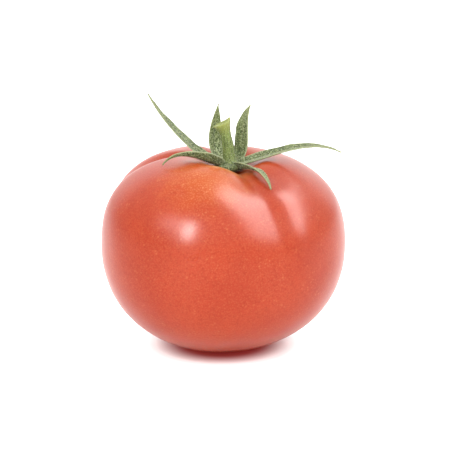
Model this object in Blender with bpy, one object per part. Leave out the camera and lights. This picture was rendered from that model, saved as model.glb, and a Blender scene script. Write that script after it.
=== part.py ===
"""A ripe tomato with its green calyx and the snapped stub of its stem.

Metres, +Z up. The origin is the middle of the flat spot that the fruit rests on,
and the side with the deepest crease faces -Y.
"""

import math
from collections import namedtuple

import bmesh
import bpy
from mathutils import Vector

MM = 0.001
GAP = 0.3 * MM

# Fruit: a half section made of two superellipse quarters, one above the equator and one below
FRUIT_RADIUS = 37.3 * MM
EQUATOR_HEIGHT = 32.5 * MM
BELLY_DEPTH = 32.9 * MM
BELLY_EXPONENT = 2.17
SHOULDER_RISE = 28.6 * MM
SHOULDER_EXPONENT = 2.47
SECTION_STEPS = 44
FRUIT_SIDES = 72

# Stem pit: a round hollow that lies a little off the fruit's axis
PIT_DEPTH = 6.6 * MM
PIT_SPREAD = 8.9 * MM
PIT_OFFSET = Vector((2.2, -1.0, 0.0)) * MM
OFFSET_REACH = 18.0 * MM

# The shoulders lean to one side, and one of them sits lower than the other
LEAN = Vector((-1.2, 0.0, 0.0)) * MM
TILT_DEPTH = 1.0 * MM
TILT_TURN = 330.0
TILT_START = 20.0
TILT_REACH = 45.0

# Creases run down from the pit and fade out. A turn is in degrees from +X, before and after are
# how wide the crease's two flanks are, and a bend is how far it has turned 60 degrees further down
Crease = namedtuple("Crease", "turn bend depth before after fade")
CREASES = (
    Crease(turn=294.0, bend=6.0, depth=2.6 * MM, before=22.0, after=9.0, fade=95.0),
    Crease(turn=310.0, bend=0.0, depth=2.5 * MM, before=15.0, after=18.0, fade=27.0),
    Crease(turn=173.0, bend=0.0, depth=1.9 * MM, before=9.0, after=9.0, fade=75.0),
    Crease(turn=100.0, bend=0.0, depth=1.7 * MM, before=15.0, after=15.0, fade=60.0),
)
CREASE_START = 30.0
CREASE_PEAK = 34.0

# Broad swellings: how many round the fruit, the turn of the first and how far they stand out
Swelling = namedtuple("Swelling", "count turn height")
SWELLINGS = (
    Swelling(count=2, turn=205.0, height=0.25 * MM),
    Swelling(count=3, turn=240.0, height=0.3 * MM),
)

# Calyx: the disc that the sepals grow from
DISC_RADIUS = 4.6 * MM
DISC_TOP = 57.7 * MM
DISC_SIDES = 28
DISC_CLEARANCE = 0.85 * MM
DISC_CENTRE = PIT_OFFSET
SOCKET_RADIUS = 2.4 * MM
SOCKET_DEPTH = 1.0 * MM

# Sepals: each follows a curve that starts inside the disc and turns as it climbs
Sepal = namedtuple("Sepal", "name turns pitches rolls length width widest taper cup")
SEPALS = (
    Sepal("long_left", (182, 165), (18, 55, 41, 63), (-18, -12), 31 * MM, 4.5 * MM, 0.22, 0.85, 0.26),
    Sepal("curled_left", (226, 182), (28, 15, 34, -60), (44, 24), 22 * MM, 4.4 * MM, 0.28, 1.00, 0.36),
    Sepal("back_left", (127, 110), (2, 102, 111, 116), (0, 12), 21 * MM, 4.7 * MM, 0.40, 1.00, 0.24),
    Sepal("back_right", (54, 38), (12, 140, 66, 52), (0, 0), 19 * MM, 5.4 * MM, 0.45, 0.90, 0.20),
    Sepal("long_right", (-8, 5), (14, 26, 15, -29), (14, 8), 32 * MM, 5.2 * MM, 0.18, 0.95, 0.36),
    Sepal("curled_front", (304, 298), (1, 14, 7, -61), (-44, 0), 21.6 * MM, 3.3 * MM, 0.20, 0.90, 0.40),
)
SEPAL_START = 2.9 * MM
SEPAL_HEIGHT = 57.35 * MM
SEPAL_THICKNESS = 0.75 * MM
SEPAL_STEPS = 18
SEPAL_STRIPS = 4
ROOT_SHARE = 0.62
TIP_WIDTH = 0.5 * MM

# Stem stub: it leans to the left, widens at its end and is snapped off on a slant
STUB_LENGTH = 12.9 * MM
STUB_SIDES = 20
STUB_LEAN = Vector((-2.4, 0.2, 0.0)) * MM
STUB_SLANT = math.radians(24.0)
SLANT_STARTS = 0.68
NUB_TURN = math.radians(15.0)
NUB_SPREAD = math.radians(32.0)
NUB_HEIGHT = 0.7 * MM


def smooth_step(value):
    """0 at or below 0, 1 at or above 1, and an even S between them."""
    value = min(max(value, 0.0), 1.0)
    return value * value * (3.0 - 2.0 * value)


def bell(distance, spread):
    """1 at no distance, and down to nothing past about two spreads."""
    return math.exp(-((distance / spread) ** 2))


def turn_between(first, second):
    """The angle from one turn to another in degrees, from -180 to 180."""
    return (first - second + 180.0) % 360.0 - 180.0


def material(name, colour, roughness):
    """A Principled BSDF material of one colour."""
    made = bpy.data.materials.new(name)
    made.use_nodes = True
    shader = made.node_tree.nodes["Principled BSDF"]
    shader.inputs["Base Color"].default_value = (*colour, 1.0)
    shader.inputs["Roughness"].default_value = roughness
    shader.inputs["Metallic"].default_value = 0.0
    made.diffuse_color = (*colour, 1.0)
    return made


def skin_material():
    return material("tomato_skin", (0.50, 0.070, 0.022), 0.25)


def calyx_material():
    return material("calyx_green", (0.135, 0.165, 0.070), 0.7)


def stem_material():
    return material("stem_green", (0.165, 0.210, 0.055), 0.65)


def new_object(name, bm, look):
    """An object with this mesh and material, shaded smooth except at sharp edges."""
    mesh = bpy.data.meshes.new(name)
    bm.to_mesh(mesh)
    bm.free()
    mesh.shade_smooth()
    mesh.set_sharp_from_angle(angle=math.radians(50.0))
    mesh.materials.append(look)
    made = bpy.data.objects.new(name, mesh)
    bpy.context.scene.collection.objects.link(made)
    return made


def turned(section, sides):
    """A section of (radius, height) points spun round Z into a closed mesh."""
    bm = bmesh.new()
    verts = [bm.verts.new((radius, 0.0, height)) for radius, height in section]
    edges = [bm.edges.new(pair) for pair in zip(verts, verts[1:])]
    bmesh.ops.spin(
        bm,
        geom=verts + edges,
        cent=(0.0, 0.0, 0.0),
        axis=(0.0, 0.0, 1.0),
        angle=2.0 * math.pi,
        steps=sides,
        use_merge=True,
    )
    bmesh.ops.remove_doubles(bm, verts=bm.verts[:], dist=0.001 * MM)
    bmesh.ops.recalc_face_normals(bm, faces=bm.faces[:])
    return bm


def pit_drop(radius):
    """How far the stem pit lowers the shoulder at this distance from the pit's middle."""
    return PIT_DEPTH * bell(radius, PIT_SPREAD)


def fruit_section():
    """The half section from the middle of the flat spot up to the bottom of the pit."""
    points = []
    for step in range(SECTION_STEPS + 1):
        angle = math.pi * (step / SECTION_STEPS - 0.5)
        upper = angle > 0.0
        power = 2.0 / (SHOULDER_EXPONENT if upper else BELLY_EXPONENT)
        radius = FRUIT_RADIUS * max(math.cos(angle), 0.0) ** power
        reach = abs(math.sin(angle)) ** power
        if step in (0, SECTION_STEPS):
            radius = 0.0
        if upper:
            height = EQUATOR_HEIGHT + SHOULDER_RISE * reach - pit_drop(radius)
        else:
            height = max(EQUATOR_HEIGHT - BELLY_DEPTH * reach, 0.0)
        points.append((radius, height))
    return points


def crease_depth(turn, fall):
    """Depth of the creases at a turn and at an angle down from the top, in degrees."""
    past = max(fall - CREASE_PEAK, 0.0)
    depth = 0.0
    for crease in CREASES:
        aside = turn_between(turn, crease.turn + crease.bend * past / 60.0)
        flank = crease.before if aside < 0.0 else crease.after
        depth += crease.depth * bell(aside, flank) * (1.0 - smooth_step(past / crease.fade))
    return depth * smooth_step(fall / CREASE_START)


def swelling_height(turn, fall):
    """How far the skin stands out of the round, most at the equator."""
    wave = sum(
        swelling.height * math.cos(math.radians(swelling.count * (turn - swelling.turn)))
        for swelling in SWELLINGS
    )
    return wave * math.sin(math.radians(fall)) ** 2


def shaped_skin(point):
    """A point of the round fruit moved to where the grown, uneven fruit has it."""
    if point.z <= 0.0:
        return point
    heart = Vector((0.0, 0.0, EQUATOR_HEIGHT))
    outward = (point - heart).normalized()
    radius = math.hypot(point.x, point.y)
    turn = math.degrees(math.atan2(point.y, point.x))
    fall = math.degrees(math.atan2(radius, point.z - EQUATOR_HEIGHT))
    tilt = TILT_DEPTH * bell(fall, TILT_REACH) * math.cos(math.radians(turn - TILT_TURN))
    tilt *= smooth_step(fall / TILT_START)
    lift = swelling_height(turn, fall) - crease_depth(turn, fall) - tilt
    moved = point + outward * lift
    if point.z > EQUATOR_HEIGHT:
        near = bell(radius, OFFSET_REACH)
        rise = (point.z - EQUATOR_HEIGHT) / SHOULDER_RISE
        moved += PIT_OFFSET * near + LEAN * (1.0 - near) * rise * rise
    return moved


def make_fruit():
    """The fruit, one solid."""
    bm = turned(fruit_section(), FRUIT_SIDES)
    for vert in bm.verts:
        vert.co = shaped_skin(vert.co)
    return new_object("fruit", bm, skin_material())


def disc_section():
    """The disc's half section: its underside follows the pit, its top holds the stem's socket."""
    crown = SHOULDER_RISE + EQUATOR_HEIGHT + DISC_CLEARANCE
    rings = (0.0, 0.35, 0.65, 0.9, 1.0)
    under = [(DISC_RADIUS * ring, crown - pit_drop(DISC_RADIUS * ring)) for ring in rings]
    rim = (DISC_RADIUS, DISC_TOP - 0.45 * MM)
    shoulder = (DISC_RADIUS - 0.5 * MM, DISC_TOP - 0.05 * MM)
    collar = (SOCKET_RADIUS + 0.8 * MM, DISC_TOP + 0.15 * MM)
    lip = (SOCKET_RADIUS, DISC_TOP)
    floor_height = DISC_TOP - SOCKET_DEPTH
    return under + [rim, shoulder, collar, lip, (SOCKET_RADIUS, floor_height), (0.0, floor_height)]


def bezier(values, share):
    """A cubic Bezier curve's value, from four controls."""
    rest = 1.0 - share
    weights = (rest**3, 3 * rest * rest * share, 3 * rest * share * share, share**3)
    return sum(weight * value for weight, value in zip(weights, values))


def sepal_frames(sepal):
    """Places along a sepal's middle line, each with its side and its upper direction."""
    turn = math.radians(sepal.turns[0])
    outward = Vector((math.cos(turn), math.sin(turn), 0.0))
    place = DISC_CENTRE + outward * SEPAL_START + Vector((0.0, 0.0, SEPAL_HEIGHT))
    frames = []
    for step in range(SEPAL_STEPS + 1):
        share = step / SEPAL_STEPS
        turn = math.radians(sepal.turns[0] + (sepal.turns[1] - sepal.turns[0]) * share)
        pitch = math.radians(bezier(sepal.pitches, share))
        roll = math.radians(sepal.rolls[0] + (sepal.rolls[1] - sepal.rolls[0]) * share)
        outward = Vector((math.cos(turn), math.sin(turn), 0.0))
        along = outward * math.cos(pitch) + Vector((0.0, 0.0, math.sin(pitch)))
        above = Vector((0.0, 0.0, math.cos(pitch))) - outward * math.sin(pitch)
        level = above.cross(along)
        side = level * math.cos(roll) + above * math.sin(roll)
        above = above * math.cos(roll) - level * math.sin(roll)
        frames.append((place.copy(), side, above))
        place += along * (sepal.length / SEPAL_STEPS)
    return frames


def sepal_width(sepal, share):
    """A spear-shaped leaf: it swells from its root and then runs out to a point."""
    if share < sepal.widest:
        part = ROOT_SHARE + (1.0 - ROOT_SHARE) * math.sin(0.5 * math.pi * share / sepal.widest)
    else:
        run = (share - sepal.widest) / (1.0 - sepal.widest)
        part = max(math.cos(0.5 * math.pi * run), 0.0) ** sepal.taper
    return max(sepal.width * part, TIP_WIDTH)


def make_sepal(sepal):
    """One sepal: a strip laid along its curve, its edges raised, and given its thickness."""
    bm = bmesh.new()
    bmesh.ops.create_grid(bm, x_segments=SEPAL_STEPS, y_segments=SEPAL_STRIPS, size=1.0)
    bmesh.ops.triangulate(bm, faces=bm.faces[:], quad_method="ALTERNATE")
    frames = sepal_frames(sepal)
    for vert in bm.verts:
        step = round((vert.co.x + 1.0) * 0.5 * SEPAL_STEPS)
        across = vert.co.y
        place, side, above = frames[step]
        half = 0.5 * sepal_width(sepal, step / SEPAL_STEPS)
        vert.co = place + side * (across * half) + above * (sepal.cup * half * abs(across) ** 1.5)
    made = new_object(sepal.name, bm, calyx_material())
    wall = made.modifiers.new("thickness", "SOLIDIFY")
    wall.thickness = SEPAL_THICKNESS
    wall.offset = 0.0
    return made


def join_into(body, pieces):
    """One union of the pieces with the body, after which the pieces are gone."""
    group = bpy.data.collections.new("sepals")
    bpy.context.scene.collection.children.link(group)
    for piece in pieces:
        group.objects.link(piece)
    union = body.modifiers.new("sepals", "BOOLEAN")
    union.operation = "UNION"
    union.operand_type = "COLLECTION"
    union.collection = group
    union.solver = "EXACT"
    shaped = body.evaluated_get(bpy.context.evaluated_depsgraph_get())
    joined = bpy.data.meshes.new_from_object(shaped)
    body.modifiers.clear()
    body.data = joined
    for piece in pieces:
        bpy.data.objects.remove(piece)
    bpy.data.collections.remove(group)


def make_calyx():
    """The disc and its sepals, grown together as one solid."""
    bm = turned(disc_section(), DISC_SIDES)
    bmesh.ops.translate(bm, verts=bm.verts[:], vec=DISC_CENTRE)
    disc = new_object("calyx", bm, calyx_material())
    join_into(disc, [make_sepal(sepal) for sepal in SEPALS])
    return disc


def stub_section():
    """The stub's half section, from its foot to the shallow hollow of its snapped end."""
    shape = (
        (0.0, 0.0), (1.85, 0.0), (2.0, 0.06), (1.9, 0.2), (1.8, 0.38), (1.75, 0.56),
        (1.65, 0.7), (1.75, 0.8), (2.2, 0.91), (2.5, 0.97), (2.35, 1.0), (1.8, 0.985),
        (1.0, 0.965), (0.0, 0.96),
    )
    return [(radius * MM, share * STUB_LENGTH) for radius, share in shape]


def make_stub():
    """The stub of the stem, standing in the socket of the disc."""
    bm = turned(stub_section(), STUB_SIDES)
    foot = DISC_CENTRE + Vector((0.0, 0.0, DISC_TOP - SOCKET_DEPTH + GAP))
    for vert in bm.verts:
        share = vert.co.z / STUB_LENGTH
        radius = math.hypot(vert.co.x, vert.co.y)
        turn = math.atan2(vert.co.y, vert.co.x)
        slant = smooth_step((share - SLANT_STARTS) / (1.0 - SLANT_STARTS))
        rise = vert.co.x * math.tan(STUB_SLANT) * slant
        edge = smooth_step((share - 0.9) / 0.08) * smooth_step(radius / (1.8 * MM) - 0.2)
        rise += NUB_HEIGHT * edge * bell(turn - NUB_TURN, NUB_SPREAD)
        vert.co = foot + vert.co + STUB_LEAN * share**2 + Vector((0.0, 0.0, rise))
    return new_object("pedicel", bm, stem_material())


def main():
    for old in list(bpy.data.objects):
        bpy.data.objects.remove(old)
    make_fruit()
    make_calyx()
    make_stub()


main()
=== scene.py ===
# %% [markdown]
# # A ripe tomato with its calyx and stem
#
# The real object is one fruit, a green calyx that sits in the hollow at its top, and the stub of
# the stem that was snapped off when it was picked. Its solids are already built at their real
# size, in metres, with the floor at height 0. This script loads them and lays finer pieces over
# them: a smooth skin, thin leaves and fine hairs, each with its own finish.

# %% Load the solids and the tools
import math
import random
from collections import namedtuple

import bmesh
import bpy
from mathutils import Matrix, Quaternion, Vector, noise


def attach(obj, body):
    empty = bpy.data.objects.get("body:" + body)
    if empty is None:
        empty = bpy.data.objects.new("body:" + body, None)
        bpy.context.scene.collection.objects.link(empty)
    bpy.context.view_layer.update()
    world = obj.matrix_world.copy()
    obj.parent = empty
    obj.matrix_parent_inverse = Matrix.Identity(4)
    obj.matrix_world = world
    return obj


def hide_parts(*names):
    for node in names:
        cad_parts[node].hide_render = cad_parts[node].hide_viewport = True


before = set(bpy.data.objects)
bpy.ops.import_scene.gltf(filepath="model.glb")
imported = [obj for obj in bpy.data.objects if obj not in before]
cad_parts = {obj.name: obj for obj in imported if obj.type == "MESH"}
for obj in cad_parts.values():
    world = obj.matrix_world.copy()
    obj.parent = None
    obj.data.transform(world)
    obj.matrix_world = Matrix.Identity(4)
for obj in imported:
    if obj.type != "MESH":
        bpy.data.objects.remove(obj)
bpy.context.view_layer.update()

MM = 0.001

# %% [markdown]
# ## The camera
#
# The fruit was photographed from a little above its middle with a long lens, which keeps its
# outline close to its true one. A camera can be placed by eye, but here it is worked out: the
# lens follows from the distance and from how much the frame spans at the fruit, so that one
# change of distance keeps the fruit's size in the picture.

# %% Place the camera
CAMERA_RISE = math.radians(15.0)
CAMERA_DISTANCE = 0.6
FRAME_SPAN = 138.3 * MM
SENSOR_WIDTH = 36.0
AIM = Vector((0.8, 1.7, 37.3)) * MM


def place_camera():
    """A long lens in front of the fruit and a little above it."""
    camera = bpy.data.objects.new("camera", bpy.data.cameras.new("camera"))
    camera.data.sensor_width = SENSOR_WIDTH
    camera.data.lens = SENSOR_WIDTH * CAMERA_DISTANCE / FRAME_SPAN
    back = Vector((0.0, -math.cos(CAMERA_RISE), math.sin(CAMERA_RISE)))
    camera.location = AIM + back * CAMERA_DISTANCE
    camera.rotation_euler = (math.radians(90.0) - CAMERA_RISE, 0.0, 0.0)
    bpy.context.scene.collection.objects.link(camera)
    bpy.context.scene.camera = camera
    return camera


camera = place_camera()
print("lens:", round(camera.data.lens, 1), "mm")

# %% [markdown]
# ## Small helpers for grown shapes
#
# Grown things have no hard limits: a hollow, a crease or a swelling starts softly and fades out.
# Two curves do all of this here. A smooth step goes from 0 to 1 in an even S, and a bell is 1 in
# the middle and dies away on both sides.

# %% Define the curves
def smooth_step(value):
    """0 at or below 0, 1 at or above 1, and an even S between them."""
    value = min(max(value, 0.0), 1.0)
    return value * value * (3.0 - 2.0 * value)


def bell(distance, spread):
    """1 at no distance, and down to nothing past about two spreads."""
    return math.exp(-((distance / spread) ** 2))


def turn_between(first, second):
    """The angle from one turn to another in degrees, from -180 to 180."""
    return (first - second + 180.0) % 360.0 - 180.0


print("half way up a smooth step:", smooth_step(0.5))

# %% Define how a mesh becomes a piece
def turned(section, sides):
    """A section of (radius, height) points spun round Z into a closed mesh."""
    bm = bmesh.new()
    verts = [bm.verts.new((radius, 0.0, height)) for radius, height in section]
    edges = [bm.edges.new(pair) for pair in zip(verts, verts[1:])]
    bmesh.ops.spin(
        bm, geom=verts + edges, cent=(0.0, 0.0, 0.0), axis=(0.0, 0.0, 1.0),
        angle=2.0 * math.pi, steps=sides, use_merge=True,
    )
    bmesh.ops.remove_doubles(bm, verts=bm.verts[:], dist=0.0005 * MM)
    bmesh.ops.recalc_face_normals(bm, faces=bm.faces[:])
    return bm


def new_piece(name, bm, node):
    """A smooth piece that stands for a node of the solids and rides with the fruit."""
    mesh = bpy.data.meshes.new(name)
    bm.to_mesh(mesh)
    bm.free()
    mesh.shade_smooth()
    piece = bpy.data.objects.new(name, mesh)
    bpy.context.scene.collection.objects.link(piece)
    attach(piece, "root")
    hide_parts(node)
    print(name, "has", len(mesh.polygons), "faces")
    return piece


# %% [markdown]
# ## The fruit
#
# A tomato is nearly a body of rotation: flat underneath, widest below the middle, with broad
# shoulders and a pit where the stem grew. It could be sculpted from a sphere, but then its
# measures would be lost. Here a half section made of two rounded curves is spun, as on a lathe,
# and then every point is moved a little by rules that follow how the fruit grew: one shoulder
# lower than the other, creases that run down from the pit, and broad swellings between them.

# %% Draw the half section and spin it
FRUIT_RADIUS = 37.3 * MM
EQUATOR_HEIGHT = 32.5 * MM
BELLY_DEPTH = 32.9 * MM
BELLY_EXPONENT = 2.17
SHOULDER_RISE = 28.6 * MM
SHOULDER_EXPONENT = 2.47
PIT_DEPTH = 6.6 * MM
PIT_SPREAD = 8.9 * MM
SECTION_STEPS = 170
FRUIT_SIDES = 288


def pit_drop(radius):
    """How far the stem pit lowers the shoulder at this distance from the pit's middle."""
    return PIT_DEPTH * bell(radius, PIT_SPREAD)


def fruit_section():
    """The half section from the middle of the flat spot up to the bottom of the pit."""
    points = []
    for step in range(SECTION_STEPS + 1):
        angle = math.pi * (step / SECTION_STEPS - 0.5)
        upper = angle > 0.0
        power = 2.0 / (SHOULDER_EXPONENT if upper else BELLY_EXPONENT)
        radius = FRUIT_RADIUS * max(math.cos(angle), 0.0) ** power
        reach = abs(math.sin(angle)) ** power
        if step in (0, SECTION_STEPS):
            radius = 0.0
        if upper:
            height = EQUATOR_HEIGHT + SHOULDER_RISE * reach - pit_drop(radius)
        else:
            height = max(EQUATOR_HEIGHT - BELLY_DEPTH * reach, 0.0)
        points.append((radius, height))
    return points


fruit_mesh = turned(fruit_section(), FRUIT_SIDES)
print("the fruit starts from", len(fruit_mesh.verts), "points")

# %% Set the creases, the swellings and the lean of the shoulders
PIT_OFFSET = Vector((2.2, -1.0, 0.0)) * MM
OFFSET_REACH = 18.0 * MM
LEAN = Vector((-1.2, 0.0, 0.0)) * MM
TILT_DEPTH = 1.0 * MM
TILT_TURN = 330.0
TILT_START = 20.0
TILT_REACH = 45.0
Crease = namedtuple("Crease", "turn bend depth before after fade")
CREASES = (
    Crease(turn=294.0, bend=6.0, depth=2.6 * MM, before=22.0, after=9.0, fade=95.0),
    Crease(turn=310.0, bend=0.0, depth=2.5 * MM, before=15.0, after=18.0, fade=27.0),
    Crease(turn=173.0, bend=0.0, depth=1.9 * MM, before=9.0, after=9.0, fade=75.0),
    Crease(turn=100.0, bend=0.0, depth=1.7 * MM, before=15.0, after=15.0, fade=60.0),
)
CREASE_START = 30.0
CREASE_PEAK = 34.0
Swelling = namedtuple("Swelling", "count turn height")
SWELLINGS = (
    Swelling(count=2, turn=205.0, height=0.25 * MM),
    Swelling(count=3, turn=240.0, height=0.3 * MM),
)
UNEVEN_SIZE = 11.0 * MM
UNEVEN_DEPTH = 0.10 * MM


def crease_depth(turn, fall):
    """Depth of the creases at a turn and at an angle down from the top, in degrees."""
    past = max(fall - CREASE_PEAK, 0.0)
    depth = 0.0
    for crease in CREASES:
        aside = turn_between(turn, crease.turn + crease.bend * past / 60.0)
        flank = crease.before if aside < 0.0 else crease.after
        depth += crease.depth * bell(aside, flank) * (1.0 - smooth_step(past / crease.fade))
    return depth * smooth_step(fall / CREASE_START)


def swelling_height(turn, fall):
    """How far the skin stands out of the round, most at the equator."""
    wave = sum(
        swelling.height * math.cos(math.radians(swelling.count * (turn - swelling.turn)))
        for swelling in SWELLINGS
    )
    return wave * math.sin(math.radians(fall)) ** 2


def shaped_skin(point):
    """A point of the round fruit moved to where the grown, uneven fruit has it."""
    if point.z <= 0.0:
        return point
    heart = Vector((0.0, 0.0, EQUATOR_HEIGHT))
    outward = (point - heart).normalized()
    radius = math.hypot(point.x, point.y)
    turn = math.degrees(math.atan2(point.y, point.x))
    fall = math.degrees(math.atan2(radius, point.z - EQUATOR_HEIGHT))
    tilt = TILT_DEPTH * bell(fall, TILT_REACH) * math.cos(math.radians(turn - TILT_TURN))
    tilt *= smooth_step(fall / TILT_START)
    lift = swelling_height(turn, fall) - crease_depth(turn, fall) - tilt
    lift += UNEVEN_DEPTH * noise.noise(point / UNEVEN_SIZE) * smooth_step(point.z / UNEVEN_SIZE)
    moved = point + outward * lift
    if point.z > EQUATOR_HEIGHT:
        near = bell(radius, OFFSET_REACH)
        rise = (point.z - EQUATOR_HEIGHT) / SHOULDER_RISE
        moved += PIT_OFFSET * near + LEAN * (1.0 - near) * rise * rise
    return moved


for vert in fruit_mesh.verts:
    vert.co = shaped_skin(vert.co)
fruit = new_piece("fruit_skin", fruit_mesh, "fruit")

# %% [markdown]
# ## The calyx
#
# The calyx is a small disc with six sepals, thin leaves that were green round the flower. The
# disc is turned like the fruit. Its underside keeps to the pit and its top has a socket for the
# stem.

# %% Turn the disc
DISC_RADIUS = 4.6 * MM
DISC_TOP = 57.7 * MM
DISC_SIDES = 64
DISC_CLEARANCE = 0.25 * MM
DISC_CENTRE = PIT_OFFSET
SOCKET_RADIUS = 2.4 * MM


def disc_section():
    """The disc's half section, from the middle of its underside round to the stem's foot."""
    crown = SHOULDER_RISE + EQUATOR_HEIGHT + DISC_CLEARANCE
    rings = (0.0, 0.35, 0.65, 0.9, 1.0)
    under = [(DISC_RADIUS * ring, crown - pit_drop(DISC_RADIUS * ring)) for ring in rings]
    rim = (DISC_RADIUS, DISC_TOP - 0.45 * MM)
    shoulder = (DISC_RADIUS - 0.5 * MM, DISC_TOP - 0.05 * MM)
    collar = (SOCKET_RADIUS + 0.8 * MM, DISC_TOP + 0.15 * MM)
    lip = (SOCKET_RADIUS, DISC_TOP)
    return under + [rim, shoulder, collar, lip, (0.0, DISC_TOP - 0.3 * MM)]


disc_mesh = turned(disc_section(), DISC_SIDES)
bmesh.ops.subdivide_edges(disc_mesh, edges=disc_mesh.edges[:], cuts=1, use_grid_fill=True)
for vert in disc_mesh.verts:
    rough = noise.noise(vert.co / (0.9 * MM))
    vert.co = vert.co + DISC_CENTRE + Vector((0.0, 0.0, 0.12 * MM * rough))
disc = new_piece("calyx_disc", disc_mesh, "calyx")
disc.modifiers.new("smooth", "SUBSURF").levels = 1
disc.modifiers["smooth"].render_levels = 1

# %% [markdown]
# ## The sepals
#
# Each sepal is a spear-shaped leaf, thick in the middle and thin at its edges, folded a little
# like a canoe. A flat grid is laid along a curve that starts inside the disc: at every step the
# curve turns by its own pitch, so a sepal can rise, arch and hang with four numbers. The grid
# then gets its thickness from Solidify, which a vertex group makes thin at the edges.

# %% Set each sepal's course
Sepal = namedtuple("Sepal", "name turns pitches rolls length width widest taper cup")
SEPALS = (
    Sepal("long_left", (182, 165), (18, 55, 41, 63), (-18, -12), 31 * MM, 4.5 * MM, 0.22, 0.85, 0.26),
    Sepal("curled_left", (226, 182), (28, 15, 34, -60), (44, 24), 22 * MM, 4.4 * MM, 0.28, 1.00, 0.36),
    Sepal("back_left", (127, 110), (2, 102, 111, 116), (0, 12), 21 * MM, 4.7 * MM, 0.40, 1.00, 0.24),
    Sepal("back_right", (54, 38), (12, 140, 66, 52), (0, 0), 19 * MM, 5.4 * MM, 0.45, 0.90, 0.20),
    Sepal("long_right", (-8, 5), (14, 26, 15, -29), (14, 8), 32 * MM, 5.2 * MM, 0.18, 0.95, 0.36),
    Sepal("curled_front", (304, 298), (1, 14, 7, -61), (-44, 0), 21.6 * MM, 3.3 * MM, 0.20, 0.90, 0.40),
)
SEPAL_START = 2.9 * MM
SEPAL_HEIGHT = 57.35 * MM
SEPAL_THICKNESS = 0.75 * MM
SEPAL_STEPS = 72
SEPAL_STRIPS = 16
ROOT_SHARE = 0.62
TIP_WIDTH = 0.3 * MM
EDGE_WAVE = 0.16 * MM
WAVE_SIZE = 3.2 * MM
RIB_DEPTH = 0.10 * MM
RIB_WIDTH = 0.16


def bezier(values, share):
    """A cubic Bezier curve's value, from four controls."""
    rest = 1.0 - share
    weights = (rest**3, 3 * rest * rest * share, 3 * rest * share * share, share**3)
    return sum(weight * value for weight, value in zip(weights, values))


def sepal_frames(sepal):
    """Places along a sepal's middle line, each with its side and its upper direction."""
    turn = math.radians(sepal.turns[0])
    outward = Vector((math.cos(turn), math.sin(turn), 0.0))
    place = DISC_CENTRE + outward * SEPAL_START + Vector((0.0, 0.0, SEPAL_HEIGHT))
    frames = []
    for step in range(SEPAL_STEPS + 1):
        share = step / SEPAL_STEPS
        turn = math.radians(sepal.turns[0] + (sepal.turns[1] - sepal.turns[0]) * share)
        pitch = math.radians(bezier(sepal.pitches, share))
        roll = math.radians(sepal.rolls[0] + (sepal.rolls[1] - sepal.rolls[0]) * share)
        outward = Vector((math.cos(turn), math.sin(turn), 0.0))
        along = outward * math.cos(pitch) + Vector((0.0, 0.0, math.sin(pitch)))
        above = Vector((0.0, 0.0, math.cos(pitch))) - outward * math.sin(pitch)
        level = above.cross(along)
        side = level * math.cos(roll) + above * math.sin(roll)
        above = above * math.cos(roll) - level * math.sin(roll)
        frames.append((place.copy(), side, above))
        place += along * (sepal.length / SEPAL_STEPS)
    return frames


def sepal_width(sepal, share):
    """A spear-shaped leaf: it swells from its root and then runs out to a point."""
    if share < sepal.widest:
        part = ROOT_SHARE + (1.0 - ROOT_SHARE) * math.sin(0.5 * math.pi * share / sepal.widest)
    else:
        run = (share - sepal.widest) / (1.0 - sepal.widest)
        part = max(math.cos(0.5 * math.pi * run), 0.0) ** sepal.taper
    return max(sepal.width * part, TIP_WIDTH)


print("the longest sepal is", max(sepal.length for sepal in SEPALS) / MM, "mm")

# %% Lay each sepal along its course
def make_sepal(sepal):
    """One sepal: a grid laid along its curve, waved at its edges, then thickened."""
    bm = bmesh.new()
    bm.loops.layers.uv.new("along_and_across")
    bmesh.ops.create_grid(bm, x_segments=SEPAL_STEPS, y_segments=SEPAL_STRIPS, size=1.0, calc_uvs=True)
    fleshy = bm.verts.layers.deform.verify()
    frames = sepal_frames(sepal)
    for vert in bm.verts:
        step = round((vert.co.x + 1.0) * 0.5 * SEPAL_STEPS)
        share = step / SEPAL_STEPS
        across = vert.co.y
        place, side, above = frames[step]
        half = 0.5 * sepal_width(sepal, share)
        point = place + side * (across * half) + above * (sepal.cup * half * abs(across) ** 1.5)
        wave = noise.noise(point / WAVE_SIZE) * across * across * smooth_step(share / 0.2)
        rib = bell(across, RIB_WIDTH) * (1.0 - share)
        vert.co = point + above * (EDGE_WAVE * wave - RIB_DEPTH * rib) + side * (EDGE_WAVE * wave * across)
        vert[fleshy][0] = (1.0 - 0.7 * across * across) * (1.0 - 0.45 * share)
    piece = new_piece("sepal_" + sepal.name, bm, "calyx")
    piece.vertex_groups.new(name="fleshy")
    wall = piece.modifiers.new("thickness", "SOLIDIFY")
    wall.thickness = SEPAL_THICKNESS
    wall.offset = 0.0
    wall.vertex_group = "fleshy"
    wall.thickness_vertex_group = 0.15
    return piece


sepals = [make_sepal(sepal) for sepal in SEPALS]

# %% [markdown]
# ## The stub of the stem
#
# The stem snapped at its knuckle, the joint where ripe fruit lets go, which leaves a widened and
# slanting end. It is turned like the disc, then leaned, slanted and torn a little at its lip.

# %% Turn and bend the stub
STUB_LENGTH = 12.9 * MM
STUB_SIDES = 72
STUB_SINK = 0.7 * MM
STUB_LEAN = Vector((-2.4, 0.2, 0.0)) * MM
STUB_SLANT = math.radians(24.0)
SLANT_STARTS = 0.68
NUB_TURN = math.radians(15.0)
NUB_SPREAD = math.radians(32.0)
NUB_HEIGHT = 0.7 * MM
RIDGE_COUNT = 9
RIDGE_DEPTH = 0.05 * MM


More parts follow.
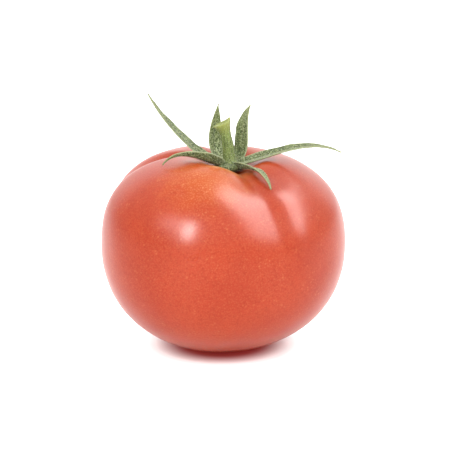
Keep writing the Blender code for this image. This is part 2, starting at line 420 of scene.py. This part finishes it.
def stub_section():
    """The stub's half section, from its foot to the shallow hollow of its snapped end."""
    shape = (
        (0.0, 0.0), (2.6, 0.0), (2.5, 0.06), (2.0, 0.16), (1.8, 0.38), (1.75, 0.56),
        (1.65, 0.7), (1.75, 0.8), (2.2, 0.91), (2.5, 0.97), (2.35, 1.0), (1.8, 0.985),
        (1.0, 0.965), (0.0, 0.96),
    )
    return [(radius * MM, share * STUB_LENGTH) for radius, share in shape]


stub_mesh = turned(stub_section(), STUB_SIDES)
bmesh.ops.subdivide_edges(stub_mesh, edges=stub_mesh.edges[:], cuts=1, use_grid_fill=True)
foot = DISC_CENTRE + Vector((0.0, 0.0, DISC_TOP - STUB_SINK))
for vert in stub_mesh.verts:
    share = vert.co.z / STUB_LENGTH
    radius = math.hypot(vert.co.x, vert.co.y)
    turn = math.atan2(vert.co.y, vert.co.x)
    slant = smooth_step((share - SLANT_STARTS) / (1.0 - SLANT_STARTS))
    rise = vert.co.x * math.tan(STUB_SLANT) * slant
    edge = smooth_step((share - 0.9) / 0.08) * smooth_step(radius / (1.8 * MM) - 0.2)
    rise += NUB_HEIGHT * edge * bell(turn - NUB_TURN, NUB_SPREAD)
    torn = noise.noise(vert.co / (0.5 * MM)) * smooth_step((share - 0.93) / 0.05)
    rise += 0.2 * MM * torn
    ridge = 1.0 + RIDGE_DEPTH / (2.0 * MM) * math.cos(RIDGE_COUNT * turn)
    across = Vector((vert.co.x * ridge, vert.co.y * ridge, vert.co.z))
    vert.co = foot + across + STUB_LEAN * share**2 + Vector((0.0, 0.0, rise))
stub = new_piece("stem_stub", stub_mesh, "pedicel")
stub.modifiers.new("smooth", "SUBSURF").levels = 1
stub.modifiers["smooth"].render_levels = 1

# %% [markdown]
# ## The hairs
#
# Tomato leaves and stems carry a down of short pale hairs, which catches the light along every
# edge. Blender's hair curves would not be kept as a mesh, so each hair is a three-sided spike,
# set on a point of the surface picked by a seeded draw and tilted a little at random.

# %% Grow hairs on the green pieces
HAIR_RADIUS = 0.028 * MM
HAIR_TILT = 0.55
PATCH_POINTS = 1200


def grow_hairs(name, carriers, node, per_square_mm, shortest, longest, seed):
    """Spikes over the evaluated surfaces of the carriers, as one piece."""
    draw = random.Random(seed)
    grown = bmesh.new()
    depsgraph = bpy.context.evaluated_depsgraph_get()
    patch = bpy.data.meshes.new("patch")
    bm = bmesh.new()
    for carrier in carriers:
        surface = carrier.evaluated_get(depsgraph).to_mesh()
        for face in surface.polygons:
            if len(bm.verts) > PATCH_POINTS:
                bm.to_mesh(patch)
                grown.from_mesh(patch)
                bm.clear()
            wanted = face.area / (MM * MM) * per_square_mm
            count = int(wanted) + (draw.random() < wanted % 1.0)
            corners = [surface.vertices[index].co for index in face.vertices]
            for _ in range(count):
                first, second = draw.random(), draw.random()
                low = corners[0].lerp(corners[1], first)
                high = corners[-1].lerp(corners[2], first)
                base = low.lerp(high, second)
                drift = Vector((draw.gauss(0, 1), draw.gauss(0, 1), draw.gauss(0, 1))) * HAIR_TILT
                along = (face.normal + drift).normalized()
                length = draw.uniform(shortest, longest)
                turn = along.to_track_quat("Z", "Y").to_matrix().to_4x4()
                place = Matrix.Translation(base + along * (0.45 * length)) @ turn
                bmesh.ops.create_cone(
                    bm, cap_ends=True, segments=3, radius1=HAIR_RADIUS, radius2=0.0,
                    depth=length, matrix=place,
                )
    bm.to_mesh(patch)
    bm.free()
    grown.from_mesh(patch)
    bpy.data.meshes.remove(patch)
    return new_piece(name, grown, node)


sepal_hairs = grow_hairs("sepal_hairs", sepals + [disc], "calyx",
                         4.5, 0.2 * MM, 0.45 * MM, seed=11)
stem_hairs = grow_hairs("stem_hairs", [stub], "pedicel",
                        6.0, 0.2 * MM, 0.5 * MM, seed=12)

# %% [markdown]
# ## Writing materials as sums
#
# A material is a graph of nodes, and a long graph is hard to read as code. A small class wraps a
# socket, so that sums of masks can be written as plain expressions, and each operator adds the
# Math node that it stands for.

# %% Wrap the node graph
class Value:
    """A number that varies over a surface, which can be used in sums."""

    def __init__(self, graph, socket):
        self.graph = graph
        self.socket = socket

    def maths(self, operation, first, second):
        return self.graph.node("ShaderNodeMath", {"operation": operation}, {0: first, 1: second})

    def __add__(self, other):
        return self.maths("ADD", self, other)

    def __sub__(self, other):
        return self.maths("SUBTRACT", self, other)

    def __mul__(self, other):
        return self.maths("MULTIPLY", self, other)

    __radd__ = __add__
    __rmul__ = __mul__

    def __rsub__(self, other):
        return self.maths("SUBTRACT", other, self)


class Graph:
    """A material's nodes, added by type with their settings and inputs."""

    def __init__(self, name):
        self.material = bpy.data.materials.new(name)
        self.material.use_nodes = True
        self.nodes = self.material.node_tree.nodes
        self.links = self.material.node_tree.links
        self.shader = self.nodes["Principled BSDF"]
        self.place = self.nodes.new("ShaderNodeTexCoord").outputs["Object"]
        self.uv = self.nodes["Texture Coordinate"].outputs["UV"]

    def node(self, kind, settings=None, inputs=None, output=0):
        """Add a node: its settings first, then the values or links of its sockets."""
        made = self.nodes.new(kind)
        for setting, value in (settings or {}).items():
            setattr(made, setting, value)
        for key, value in (inputs or {}).items():
            self.feed(made.inputs[key], value)
        return Value(self, made.outputs[output])

    def feed(self, socket, value):
        """Link a value to a socket, or set the socket to a number or colour."""
        if isinstance(value, Value):
            self.links.new(value.socket, socket)
        elif isinstance(value, bpy.types.NodeSocket):
            self.links.new(value, socket)
        else:
            socket.default_value = value

    def mix(self, share, first, second):
        """One colour to another, by a share from 0 to 1."""
        colours = {0: share, 6: first, 7: second}
        return self.node("ShaderNodeMix", {"data_type": "RGBA"}, colours, output=2)

    def step(self, value, low, high):
        """0 below low, 1 above high and smooth between, or the other way round."""
        limits = {0: value, 1: low, 2: high, 3: 0.0, 4: 1.0}
        return self.node("ShaderNodeMapRange", {"interpolation_type": "SMOOTHSTEP"}, limits)

    def noise(self, scale, detail=2.0, roughness=0.5, place=None):
        """Soft noise from 0 to 1, so many times a metre."""
        sockets = {"Vector": place or self.place, "Scale": scale, "Detail": detail, "Roughness": roughness}
        return self.node("ShaderNodeTexNoise", None, sockets)

    def cells(self, scale):
        """The distance to the nearest of scattered points, so many times a metre."""
        sockets = {"Vector": self.place, "Scale": scale, "Randomness": 1.0}
        return self.node("ShaderNodeTexVoronoi", None, sockets)

    def distance(self, place):
        """Metres from a place on the piece."""
        ends = {0: self.place, 1: place}
        return self.node("ShaderNodeVectorMath", {"operation": "DISTANCE"}, ends, output=1)

    def larger(self, first, second):
        """The larger of two masks."""
        return self.node("ShaderNodeMath", {"operation": "MAXIMUM"}, {0: first, 1: second})

    def bump(self, height, distance, strength=1.0):
        """A relief from a height between 0 and 1 and the distance in metres that 1 stands for."""
        sockets = {"Height": height, "Distance": distance, "Strength": strength}
        return self.node("ShaderNodeBump", None, sockets)

    def set(self, **sockets):
        """Set or link the shader's own sockets, with spaces written as underscores."""
        for name, value in sockets.items():
            self.feed(self.shader.inputs[name.replace("_", " ")], value)
        return self.material


print("the graph helpers are ready")

# %% [markdown]
# ## The skin
#
# Ripe tomato skin is a clear waxy film over red flesh. Light sinks in and comes back red, which
# takes a little subsurface scattering, and the film gives a soft gloss. Fine golden flecks lie
# under it, and round the pit the red turns to orange and yellow.

# %% Paint the skin
FLESH_RED = (0.255, 0.031, 0.011, 1.0)
DEEP_RED = (0.230, 0.025, 0.009, 1.0)
CELL_RED = (0.180, 0.014, 0.004, 1.0)
RIPE_ORANGE = (0.290, 0.052, 0.007, 1.0)
FLECK_GOLD = (0.420, 0.150, 0.060, 1.0)
SHOULDER_GOLD = (0.500, 0.260, 0.090, 1.0)
SCAR_BROWN = (0.250, 0.130, 0.050, 1.0)
FLECKS_PER_METRE = 1900.0
SPOTS_PER_METRE = 900.0
PIT_PLACE = (PIT_OFFSET.x, PIT_OFFSET.y, EQUATOR_HEIGHT + SHOULDER_RISE - PIT_DEPTH)
LATE_PLACE = (-4.0 * MM, -19.0 * MM, 57.0 * MM)
SCAR_PLACE = (1.2 * MM, 0.8 * MM, 0.0)


def skin_material():
    """Waxy red skin with golden flecks, paler round the pit."""
    graph = Graph("tomato_skin")
    patches = graph.noise(60.0, 3.0)
    colour = graph.mix(graph.step(patches, 0.35, 0.7), FLESH_RED, DEEP_RED)
    colour = graph.mix(graph.step(graph.noise(1500.0, 2.0), 0.55, 0.25) * 0.5, colour, CELL_RED)
    streaks = graph.noise(220.0, 3.0)
    late = graph.step(graph.distance(LATE_PLACE) + 0.010 * streaks, 0.024, 0.006)
    pit = graph.distance(PIT_PLACE) + 0.005 * streaks
    ring = graph.step(pit, 0.022, 0.012) * 0.35
    colour = graph.mix(graph.larger(late, ring), colour, RIPE_ORANGE)
    colour = graph.mix(graph.step(pit, 0.019, 0.012) * late * 0.9, colour, SHOULDER_GOLD)
    fleck = graph.step(graph.cells(FLECKS_PER_METRE), 0.60, 0.10)
    spot = graph.step(graph.cells(SPOTS_PER_METRE), 0.38, 0.14)
    spot = spot * graph.step(graph.noise(250.0, 2.0), 0.45, 0.70)
    golden = fleck * (0.12 + 0.40 * late) + spot * (0.22 + 0.55 * late)
    colour = graph.mix(golden, colour, FLECK_GOLD)
    scarred = graph.step(graph.distance(SCAR_PLACE) + 0.0008 * graph.noise(900.0), 0.0022, 0.0014)
    colour = graph.mix(scarred, colour, SCAR_BROWN)
    pores = graph.noise(2600.0, 2.0)
    relief = graph.bump(pores * 0.5 + fleck * 0.5, 0.000015)
    rough = 0.25 + 0.08 * patches + 0.3 * scarred
    return graph.set(
        Base_Color=colour, Roughness=rough, Normal=relief, IOR=1.45, Specular_IOR_Level=0.14,
        Subsurface_Weight=0.25, Subsurface_Radius=(1.0, 0.2, 0.1), Subsurface_Scale=0.008,
    )


fruit.data.materials.append(skin_material())
print("skin painted")

# %% [markdown]
# ## The greens
#
# The sepals are a dull grey-green with a paler midrib and edges, and their face is mottled with
# dark pits and pale down. They read their own UV map, whose first axis runs from root to tip and
# whose second runs across. The disc and the stem have no such map, so they read their place in
# space. The two sepals that stand at the back are painted lighter, one gain for each: a painted
# backlight, standing in for light that shines through them.

# %% Paint the sepals and the disc
LEAF_DARK = (0.024, 0.034, 0.010, 1.0)
LEAF_MID = (0.098, 0.122, 0.046, 1.0)
LEAF_PALE = (0.240, 0.265, 0.140, 1.0)
TIP_GREEN = (0.135, 0.145, 0.060, 1.0)
# Painted backlight: the two back sepals' greens are made lighter, standing in for light shining through
# them.
PAINTED_BACKLIGHT_GAIN = {"back_left": 1.8, "back_right": 1.25}


def lighter(colour, backlight_gain):
    """A colour so many times as light."""
    return (*(backlight_gain * part for part in colour[:3]), 1.0)


def downy_green(graph, backlight_gain=1.0):
    """Grey-green with dark pits and pale, downy specks, made lighter by a painted backlight gain."""
    pits = graph.step(graph.noise(1500.0, 3.0, 0.7), 0.40, 0.60)
    colour = graph.mix(pits, lighter(LEAF_DARK, backlight_gain), lighter(LEAF_MID, backlight_gain))
    specks = graph.step(graph.noise(2000.0, 2.0, 0.6), 0.52, 0.64)
    return graph.mix(specks * 0.7, colour, lighter(LEAF_PALE, backlight_gain))


def sepal_material(sepal):
    """Downy grey-green leaf, paler along its rib and edges and yellower at its tip."""
    graph = Graph("green_" + sepal.name)
    parts = graph.nodes.new("ShaderNodeSeparateXYZ")
    graph.links.new(graph.uv, parts.inputs[0])
    length = Value(graph, parts.outputs[0])
    across = Value(graph, parts.outputs[1])
    middle = graph.node("ShaderNodeMath", {"operation": "ABSOLUTE"}, {0: across - 0.5})
    colour = downy_green(graph, PAINTED_BACKLIGHT_GAIN.get(sepal.name, 1.0))
    paler = graph.step(middle, 0.06, 0.01) * 0.3 + graph.step(middle, 0.42, 0.5) * 0.8
    colour = graph.mix(paler, colour, LEAF_PALE)
    colour = graph.mix(graph.step(length, 0.55, 1.0) * 0.7, colour, TIP_GREEN)
    relief = graph.bump(graph.noise(1500.0, 3.0), 0.00012)
    return graph.set(
        Base_Color=colour, Roughness=0.6 + 0.2 * middle, Normal=relief,
        Sheen_Weight=0.03, Sheen_Roughness=0.5, Specular_IOR_Level=0.12,
    )


def disc_material():
    """The disc's mottled green."""
    graph = Graph("disc_green")
    mottle = graph.noise(1100.0, 4.0, 0.6)
    return graph.set(
        Base_Color=downy_green(graph), Roughness=0.65 + 0.15 * mottle, Normal=graph.bump(mottle, 0.0001),
        Sheen_Weight=0.03, Sheen_Roughness=0.5, Specular_IOR_Level=0.12,
    )


for sepal, piece in zip(SEPALS, sepals):
    piece.data.materials.append(sepal_material(sepal))
disc.data.materials.append(disc_material())
print("sepals painted")

# %% Paint the stub and the hairs
STEM_GREEN = (0.110, 0.145, 0.032, 1.0)
STEM_DARK = (0.045, 0.062, 0.011, 1.0)
STEM_PALE = (0.220, 0.260, 0.085, 1.0)
CUT_YELLOW = (0.170, 0.190, 0.045, 1.0)
HAIR_PALE = (0.400, 0.420, 0.270, 1.0)


def stem_material():
    """Fibrous yellow-green, with fine lines along the stem and a paler snapped end."""
    graph = Graph("stem_green")
    height = graph.nodes.new("ShaderNodeSeparateXYZ")
    graph.links.new(graph.place, height.inputs[0])
    level = Value(graph, height.outputs[2])
    lengthwise = graph.node(
        "ShaderNodeMapping", None, {"Vector": graph.place, "Scale": (1.0, 1.0, 0.12)}
    )
    fibres = graph.noise(1800.0, 3.0, 0.6, place=lengthwise)
    colour = graph.mix(graph.step(fibres, 0.35, 0.62), STEM_DARK, STEM_GREEN)
    colour = graph.mix(graph.step(graph.noise(2300.0, 2.0, 0.6), 0.52, 0.68) * 0.6, colour, STEM_PALE)
    end = graph.step(level + 0.002 * graph.noise(700.0), 0.0665, 0.0715)
    colour = graph.mix(end, colour, CUT_YELLOW)
    relief = graph.bump(fibres, 0.00012)
    return graph.set(
        Base_Color=colour, Roughness=0.55 + 0.2 * fibres, Normal=relief,
        Sheen_Weight=0.03, Sheen_Roughness=0.5, Specular_IOR_Level=0.15,
    )


def hair_material():
    """Pale, slightly see-through hairs."""
    graph = Graph("plant_hair")
    shade = graph.noise(500.0, 1.0)
    colour = graph.mix(shade, HAIR_PALE, LEAF_PALE)
    return graph.set(Base_Color=colour, Roughness=0.5, Subsurface_Weight=0.2, Subsurface_Scale=0.0003)


stub.data.materials.append(stem_material())
hair_look = hair_material()
for piece in (sepal_hairs, stem_hairs):
    piece.data.materials.append(hair_look)
print("stem and hairs painted")

# %% [markdown]
# ## The studio
#
# The photograph was lit from all round against pure white, so the world itself is white, and
# brighter above. Lamps could do everything else at once, but here each does one job, so that each
# can be set alone: the soft boxes are only mirrored in the skin, as its highlights, and two broad
# fills only light it. The floor is a plain sheet that glows faintly, as a light table does. It
# vanishes into the white, and right under the fruit it is painted red: a painted shadow, tinted
# with the fruit's red as painted bounce light.

# %% Lay the floor
FLOOR_HALF = 3.0
SHEET_WHITE = (0.94, 0.94, 0.94, 1.0)
SHEET_SHADE = (0.92, 0.92, 0.92, 1.0)
PAINTED_RED_SHADOW = (0.45, 0.045, 0.040, 1.0)
SHEET_GLOW = 0.18


def make_floor():
    """A plain pale floor at height 0, with a painted red shadow close to where the fruit rests."""
    bm = bmesh.new()
    bmesh.ops.create_grid(bm, x_segments=1, y_segments=1, size=FLOOR_HALF)
    mesh = bpy.data.meshes.new("floor")
    bm.to_mesh(mesh)
    bm.free()
    floor = bpy.data.objects.new("floor", mesh)
    bpy.context.scene.collection.objects.link(floor)
    graph = Graph("floor_white")
    tone = graph.mix(graph.noise(3.0), SHEET_SHADE, SHEET_WHITE)
    # Painted shadow: within about 12 to 23 mm of where the fruit rests the sheet is painted dark red,
    # standing in for its contact shadow and the red light bounced from the fruit; it glows red there too.
    near = graph.step(graph.distance((0.0, 0.0, 0.0)), 23.0 * MM, 12.0 * MM)
    tone = graph.mix(near, tone, PAINTED_RED_SHADOW)
    mesh.materials.append(graph.set(
        Base_Color=tone, Emission_Color=tone, Emission_Strength=SHEET_GLOW, Roughness=0.5,
        Specular_IOR_Level=0.25,
    ))
    return floor


floor = make_floor()

# %% Light it
HORIZON_STRENGTH = 1.0
ZENITH_STRENGTH = 2.4
Softbox = namedtuple("Softbox", "name turn rise roll width height power mirrored")
SOFTBOXES = (
    Softbox("box_left", 240.0, 29.0, 0.0, 0.11, 0.38, 19.0, True),
    Softbox("box_far_left", 220.0, 34.0, 0.0, 0.32, 0.30, 4.4, True),
    Softbox("box_right", 354.0, 47.0, -38.0, 0.56, 1.24, 54.0, True),
    Softbox("box_back", 92.0, 22.0, 0.0, 2.00, 0.60, 4.5, True),
    Softbox("fill", 270.0, 30.0, 0.0, 1.40, 0.80, 11.5, False),
    Softbox("fill_back", 90.0, 30.0, 0.0, 1.40, 0.80, 5.0, False),
)
LIGHT_DISTANCE = 0.9
LIT_POINT = Vector((0.0, 0.0, EQUATOR_HEIGHT))


def add_softbox(box):
    """A rectangular light at a turn and rise round the fruit, facing it, either mirrored or lighting."""
    light = bpy.data.lights.new(box.name, "AREA")
    light.shape = "RECTANGLE"
    light.size = box.width
    light.size_y = box.height
    light.energy = box.power
    lamp = bpy.data.objects.new(box.name, light)
    turn = math.radians(box.turn)
    rise = math.radians(box.rise)
    towards = Vector((math.cos(turn) * math.cos(rise), math.sin(turn) * math.cos(rise), math.sin(rise)))
    lamp.location = LIT_POINT + towards * LIGHT_DISTANCE
    facing = towards.to_track_quat("Z", "Y") @ Quaternion((0.0, 0.0, 1.0), math.radians(box.roll))
    lamp.rotation_euler = facing.to_euler()
    lamp.visible_diffuse = not box.mirrored
    lamp.visible_glossy = box.mirrored
    bpy.context.scene.collection.objects.link(lamp)
    return lamp


def light_world():
    """White from all round, and brighter from above."""
    world = bpy.data.worlds.new("white_room")
    world.use_nodes = True
    nodes = world.node_tree.nodes
    links = world.node_tree.links
    nodes["Background"].inputs["Color"].default_value = (1.0, 1.0, 1.0, 1.0)
    direction = nodes.new("ShaderNodeTexCoord").outputs["Generated"]
    parts = nodes.new("ShaderNodeSeparateXYZ")
    links.new(direction, parts.inputs[0])
    climb = nodes.new("ShaderNodeMapRange")
    climb.interpolation_type = "SMOOTHSTEP"
    climb.inputs["To Min"].default_value = HORIZON_STRENGTH
    climb.inputs["To Max"].default_value = ZENITH_STRENGTH
    links.new(parts.outputs[2], climb.inputs["Value"])
    links.new(climb.outputs[0], nodes["Background"].inputs["Strength"])
    bpy.context.scene.world = world


light_world()
lamps = [add_softbox(box) for box in SOFTBOXES]
bpy.context.scene.view_settings.view_transform = "Standard"
print("lit by", len(lamps), "soft boxes")
